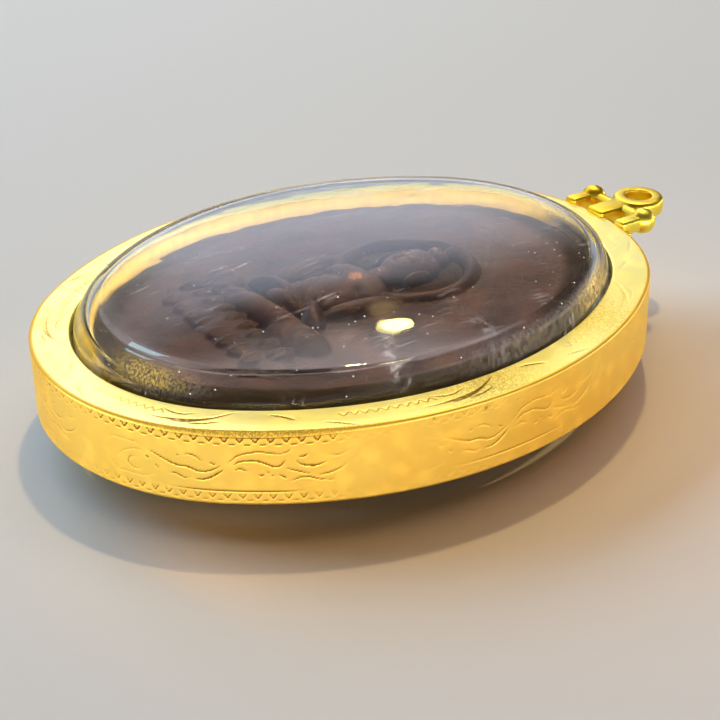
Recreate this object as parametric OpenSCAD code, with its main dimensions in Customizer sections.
// Oval amulet pendant: a gilt band that holds two clear covers round a relief tablet.
// Millimetres. +Z is up through the front cover, +X runs from the oval's centre to the bail,
// and the origin is the centre of the flat back that the pendant lies on.

/* [Band] */
// Length of the oval band, without the bail
band_len = 44; // [40:0.5:48]
// Width of the oval band
band_w = 35.2; // [32:0.4:38]
// Height of the band's outer wall
band_h = 5; // [4.8:0.1:6]
// Thickness of the band's metal
sheet_t = 0.8; // [0.6:0.05:0.9]
// Width of the flat flanges that hold the covers
flange_w = 2.6; // [2.3:0.1:3]

/* [Front cover] */
// Thickness of the clear wall
cover_t = 1.2; // [1:0.05:1.4]
// Height of the upright wall above the front flange
dome_wall_h = 1; // [0.8:0.1:1.6]
// Lean of the upright wall towards the middle
dome_lean = 0.25; // [0:0.05:0.5]
// Outer radius of the rounded shoulder
shoulder_r = 1.1; // [0.9:0.05:1.4]
// Rise of the crown above the shoulder
crown_rise = 1.6; // [1.2:0.1:2.4]

/* [Back cover] */
// How far the back cover stands out below the band
back_drop = 2.4; // [2:0.1:3]
// Thickness of the back cover under the tablet
back_t = 3.7; // [3.5:0.1:3.9]

/* [Bail] */
// Distance from the band to the cross bar
bar_reach = 2; // [1.8:0.1:2.4]
// Radius of the cross bar
bar_r = 0.55; // [0.45:0.05:0.65]
// Distance between the two end beads
bead_span = 5.5; // [5.3:0.1:6.2]
// Radius of an end bead
bead_r = 0.95; // [0.8:0.05:1.1]
// Outer radius of the flat eye
eye_r = 1.9; // [1.8:0.05:2.2]
// Radius of the hole in the eye
eye_hole_r = 1; // [0.8:0.05:1.1]
// Thickness of the eye
eye_t = 1.3; // [1.1:0.1:1.5]

/* [Tablet] */
// Clearance between pieces that are seated in each other
fit = 0.1; // [0.08:0.01:0.12]
// Depth of the tablet's field below the top of the front flange
field_drop = 0.4; // [0.3:0.05:0.8]
// Scale of all the relief's heights
relief_scale = 1; // [0.6:0.05:1]

/* [Hidden] */
$fn = 96;

band_z = back_drop;
band_top = band_z + band_h;
split_z = band_z + band_h / 2 - 0.25;
half_len = band_len / 2;
half_w = band_w / 2;

// Four tangent arcs make the oval: one radius at the ends, a larger one along the sides
end_r = 1.065 * half_w * half_w / half_len;
side_r = (half_len * half_len + half_w * half_w - 2 * half_len * end_r) / (2 * (half_w - end_r));
end_c = half_len - end_r;
side_c = side_r - half_w;
turn_angle = atan2(side_c, end_c);

// Faces round a cover, and cells along and across the tablet's relief
cover_sides = 72;
cells_up = 68;
cells_across = 52;

dome_inset = flange_w + fit;
recess_inset = dome_inset + cover_t;
tablet_inset = recess_inset + 1.5 * fit;
tablet_base = back_t + fit / 2;
field_z = band_top - field_drop;
edge_round = 0.5;
edge_share = 0.05;

bar_x = half_len + bar_reach;
bar_z = band_top - 0.2;
eye_x = bar_x + eye_r + 0.1;
lug_t = 0.5;
lug_w = 7.4;
lug_h = 3;
arm_w = 1.1;
arm_t = 1.1;
root_w = 1.8;
eye_chamfer = 0.25;

// Point on the oval whose outward normal has this angle, moved inwards by the inset
function rim(angle, inset) =
    let (c = cos(angle), s = sin(angle))
    abs(s) < sin(turn_angle)
        ? [sign(c) * end_c + (end_r - inset) * c, (end_r - inset) * s]
        : [(side_r - inset) * c, (side_r - inset) * s - sign(s) * side_c];

// One closed ring of points, from a row of inset, share of the full size, and height
function ring(row) = [
    for (k = [0:cover_sides - 1])
        let (p = rim(360 * k / cover_sides, row[0]))
        [row[1] * p[0], row[1] * p[1], row[2]]
];

// Solid through rings listed from its lower end to its upper end
module loft(rows) {
    n = cover_sides;
    last = len(rows) - 1;
    points = [for (row = rows) each ring(row)];
    walls = [
        for (i = [0:last - 1], k = [0:n - 1])
            let (a = i * n + k, b = i * n + (k + 1) % n, c = a + n, d = b + n)
            each [[a, c, d], [a, d, b]]
    ];
    lower = [for (k = [0:n - 1]) k];
    upper = [for (k = [0:n - 1]) last * n + n - 1 - k];
    polyhedron(points = points, faces = concat([lower], walls, [upper]), convexity = 6);
}

// Rows of a rounded shoulder and the low crown that it runs into
function crown_rows(inset, z, radius, rise) =
    let (
        end_angle = 75,
        top_inset = inset + radius * (1 - cos(end_angle)),
        top_z = z + radius * sin(end_angle)
    )
    concat(
        [for (a = [0:15:end_angle]) [inset + radius * (1 - cos(a)), 1, z + radius * sin(a)]],
        [for (share = [0.86, 0.7, 0.52, 0.33, 0.14]) [top_inset, share, top_z + rise * (1 - share * share)]]
    );

function reversed(list) = [for (k = [len(list) - 1:-1:0]) list[k]];

// Flat oval, its outline moved inwards by the inset
module oval(inset = 0) {
    union() {
        intersection() {
            translate([0, -side_c]) circle(r = side_r - inset);
            translate([0, side_c]) circle(r = side_r - inset);
            square([2 * (side_r - inset) * cos(turn_angle), band_w + 4], center = true);
        }
        for (s = [-1, 1]) translate([s * end_c, 0]) circle(r = end_r - inset);
    }
}

// Foot plate, beaded arms, cross bar and flat eye, all soldered to the band's end
module bail() {
    lug_z = band_top - lug_h - 0.3;
    intersection() {
        translate([0, 0, lug_z]) linear_extrude(lug_h) difference() {
            oval(-lug_t);
            oval(sheet_t / 2);
        }
        translate([half_len - 4, -lug_w / 2, lug_z - 1]) cube([8, lug_w, lug_h + 2]);
    }
    translate([bar_x, 0, bar_z]) rotate([90, 0, 0]) cylinder(r = bar_r, h = bead_span, center = true);
    for (s = [-1, 1]) {
        translate([half_len - 0.5, s * bead_span / 2 - arm_w / 2, bar_z - arm_t / 2])
            cube([bar_reach + 0.5, arm_w, arm_t]);
        translate([bar_x, s * bead_span / 2, bar_z]) sphere(r = bead_r);
    }
    difference() {
        union() {
            translate([half_len - 0.4, -root_w / 2, bar_z - arm_t / 2]) cube([eye_x - half_len - 0.5, root_w, arm_t]);
            translate([eye_x, 0, bar_z]) rotate_extrude() polygon([
                [0, -eye_t / 2],
                [eye_r - eye_chamfer, -eye_t / 2],
                [eye_r, eye_chamfer - eye_t / 2],
                [eye_r, eye_t / 2 - eye_chamfer],
                [eye_r - eye_chamfer, eye_t / 2],
                [0, eye_t / 2]
            ]);
        }
        translate([eye_x, 0, bar_z]) cylinder(r = eye_hole_r, h = 3 * eye_t, center = true);
    }
}

// Band with a flat flange at the front and the back, and the bail
module case() {
    color("gold") union() {
        difference() {
            translate([0, 0, band_z]) linear_extrude(band_h) oval();
            translate([0, 0, band_z + sheet_t]) linear_extrude(band_h - 2 * sheet_t) oval(sheet_t);
            translate([0, 0, band_z - 1]) linear_extrude(band_h + 2) oval(flange_w);
        }
        bail();
    }
}

// Clear hollow cover with a foot under the front flange
module front_dome() {
    foot_inset = sheet_t + fit;
    foot_low = split_z + fit / 2;
    foot_top = band_top - sheet_t - fit;
    inner = crown_rows(recess_inset, band_top + dome_wall_h - 0.4, shoulder_r - 0.5, crown_rise - 0.15);
    outer = crown_rows(dome_inset + dome_lean, band_top + dome_wall_h, shoulder_r, crown_rise);
    color("lightcyan", 0.35) loft(concat(
        reversed(inner),
        [[recess_inset, 1, foot_low], [foot_inset, 1, foot_low], [foot_inset, 1, foot_top], [dome_inset, 1, foot_top]],
        outer
    ));
}

// Clear back plate: flat underside, rounded edge, foot above the back flange, recess for the tablet
module back_cover() {
    foot_low = band_z + sheet_t + fit;
    foot_top = split_z - fit / 2;
    // columns: extra inset from the opening, share of the drop below the band
    edge = [[2.7, 1], [1.5, 0.88], [0.6, 0.6], [0.15, 0.25], [0, 0]];
    color("lightcyan", 0.35) loft(concat(
        [for (e = edge) [dome_inset + e[0], 1, back_drop * (1 - e[1])]],
        [[dome_inset, 1, foot_low], [sheet_t + fit, 1, foot_low], [sheet_t + fit, 1, foot_top]],
        [[recess_inset, 1, foot_top], [recess_inset, 1, back_t]]
    ));
}

// Columns of the relief tables: place along the figure, place across it, half size along,
// half size across, height above the field, and turn in degrees. Along runs towards the bail.
ALONG = 0;
ACROSS = 1;
HALF_ALONG = 2;
HALF_ACROSS = 3;
RISE = 4;
TURN = 5;

// Forms on the figure's centre line
middle_forms = [
    [-9.6, 0, 1.7, 7.2, 0.55, 0],    // lotus seat
    [-6.9, 0, 1.25, 5.2, 1.25, 7],   // crossed shins
    [-5.1, 0, 0.85, 2.1, 1.45, 0],   // hands in the lap
    [-2.3, 0, 4.1, 2.5, 1.1, 0],     // trunk
    [0.5, 0, 1.7, 3.3, 1.2, 0],      // chest and shoulders
    [2.5, 0, 1.3, 0.95, 0.9, 0],     // neck
    [4.6, 0, 2.1, 1.6, 1.5, 0],      // head
    [5.6, 0, 1.45, 1.75, 1.3, 0],    // hair
    [7.2, 0, 0.9, 0.9, 1.1, 0],      // crown knot
    [8.3, 0, 0.8, 0.4, 0.8, 0]       // flame tip
];

// Forms that stand on both sides of the centre line
paired_forms = [
    [-6.9, 4.6, 1.5, 2.7, 1.15, -12], // thigh and knee
    [-1.4, 3.5, 3.1, 0.95, 1.05, 9],  // upper arm
    [-4.4, 2.5, 0.8, 2.1, 1.2, 24],   // forearm
    [4.3, 1.75, 1.3, 0.35, 0.8, 0]    // ear
];

halo_along = 4.6;
halo_r = 4.6;
halo_w = 0.6;
halo_rise = 0.55;
halo_hollow = 0.3;

petal_rows = [[-8.9, 9, 0.95], [-10.4, 8, 0.8]];
petal_pitch = 1.45;

// Height of one rounded form over a point of the field
function form_height(p, f) =
    let (
        dx = p[0] - f[ALONG],
        dy = p[1] - f[ACROSS],
        c = cos(f[TURN]),
        s = sin(f[TURN]),
        u = (dx * c + dy * s) / f[HALF_ALONG],
        v = (dy * c - dx * s) / f[HALF_ACROSS],
        q = u * u + v * v
    )
    q < 1 ? f[RISE] * pow(1 - q, 0.6) : 0;

function petal_height(p) = max([
    for (row = petal_rows, k = [0:row[1] - 1])
        form_height(p, [row[0], (k - (row[1] - 1) / 2) * petal_pitch, 1, 0.72, row[2], 0])
]);

// Raised rim of the halo, and the hollow inside it
function halo_height(p) =
    let (r = norm([p[0] - halo_along, p[1]]), across = abs(r - halo_r) / halo_w)
    across < 1 ? halo_rise * (1 - across * across) : r < halo_r ? -halo_hollow : 0;

function relief(p) =
    let (
        q = [p[0], abs(p[1])],
        middle = max([for (f = middle_forms) form_height(p, f)]),
        paired = max([for (f = paired_forms) form_height(q, f)]),
        figure = max(middle, paired, petal_height(p)),
        ground = halo_height(p)
    )
    relief_scale * (figure > 0 ? max(figure, ground) : ground);

// Maps a square of cells onto the tablet's outline, even in size and without a pole
function tablet_point(u, v) =
    let (
        x = u * sqrt(1 - v * v / 2),
        y = v * sqrt(1 - u * u / 2),
        share = min(1, norm([x, y])),
        p = share * rim(atan2(y, x), tablet_inset),
        over = max(0, share - 1 + edge_share) / edge_share
    )
    [p[0], p[1], field_z + relief(p) - edge_round * (1 - sqrt(1 - min(1, over * over)))];

// Dark oval tablet with the seated figure in relief on its front
module amulet() {
    m = cells_across + 1;
    top = [
        for (i = [0:cells_up], j = [0:cells_across])
            tablet_point(2 * i / cells_up - 1, 2 * j / cells_across - 1)
    ];
    // Border of the cells, counter-clockwise from above
    border = concat(
        [for (i = [0:cells_up - 1]) i * m],
        [for (j = [0:cells_across - 1]) cells_up * m + j],
        [for (i = [cells_up:-1:1]) i * m + cells_across],
        [for (j = [cells_across:-1:1]) j]
    );
    n = len(border);
    base = [for (b = border) [top[b][0], top[b][1], tablet_base]];
    cells = [
        for (i = [0:cells_up - 1], j = [0:cells_across - 1])
            let (a = i * m + j, b = a + m)
            each [[a, a + 1, b + 1], [a, b + 1, b]]
    ];
    walls = [
        for (k = [0:n - 1])
            let (a = len(top) + k, b = len(top) + (k + 1) % n, c = border[k], d = border[(k + 1) % n])
            each [[a, c, d], [a, d, b]]
    ];
    underside = [for (k = [0:n - 1]) len(top) + k];
    color([0.25, 0.19, 0.18])
        polyhedron(points = concat(top, base), faces = concat(cells, walls, [underside]), convexity = 10);
}

case();
front_dome();
back_cover();
amulet();
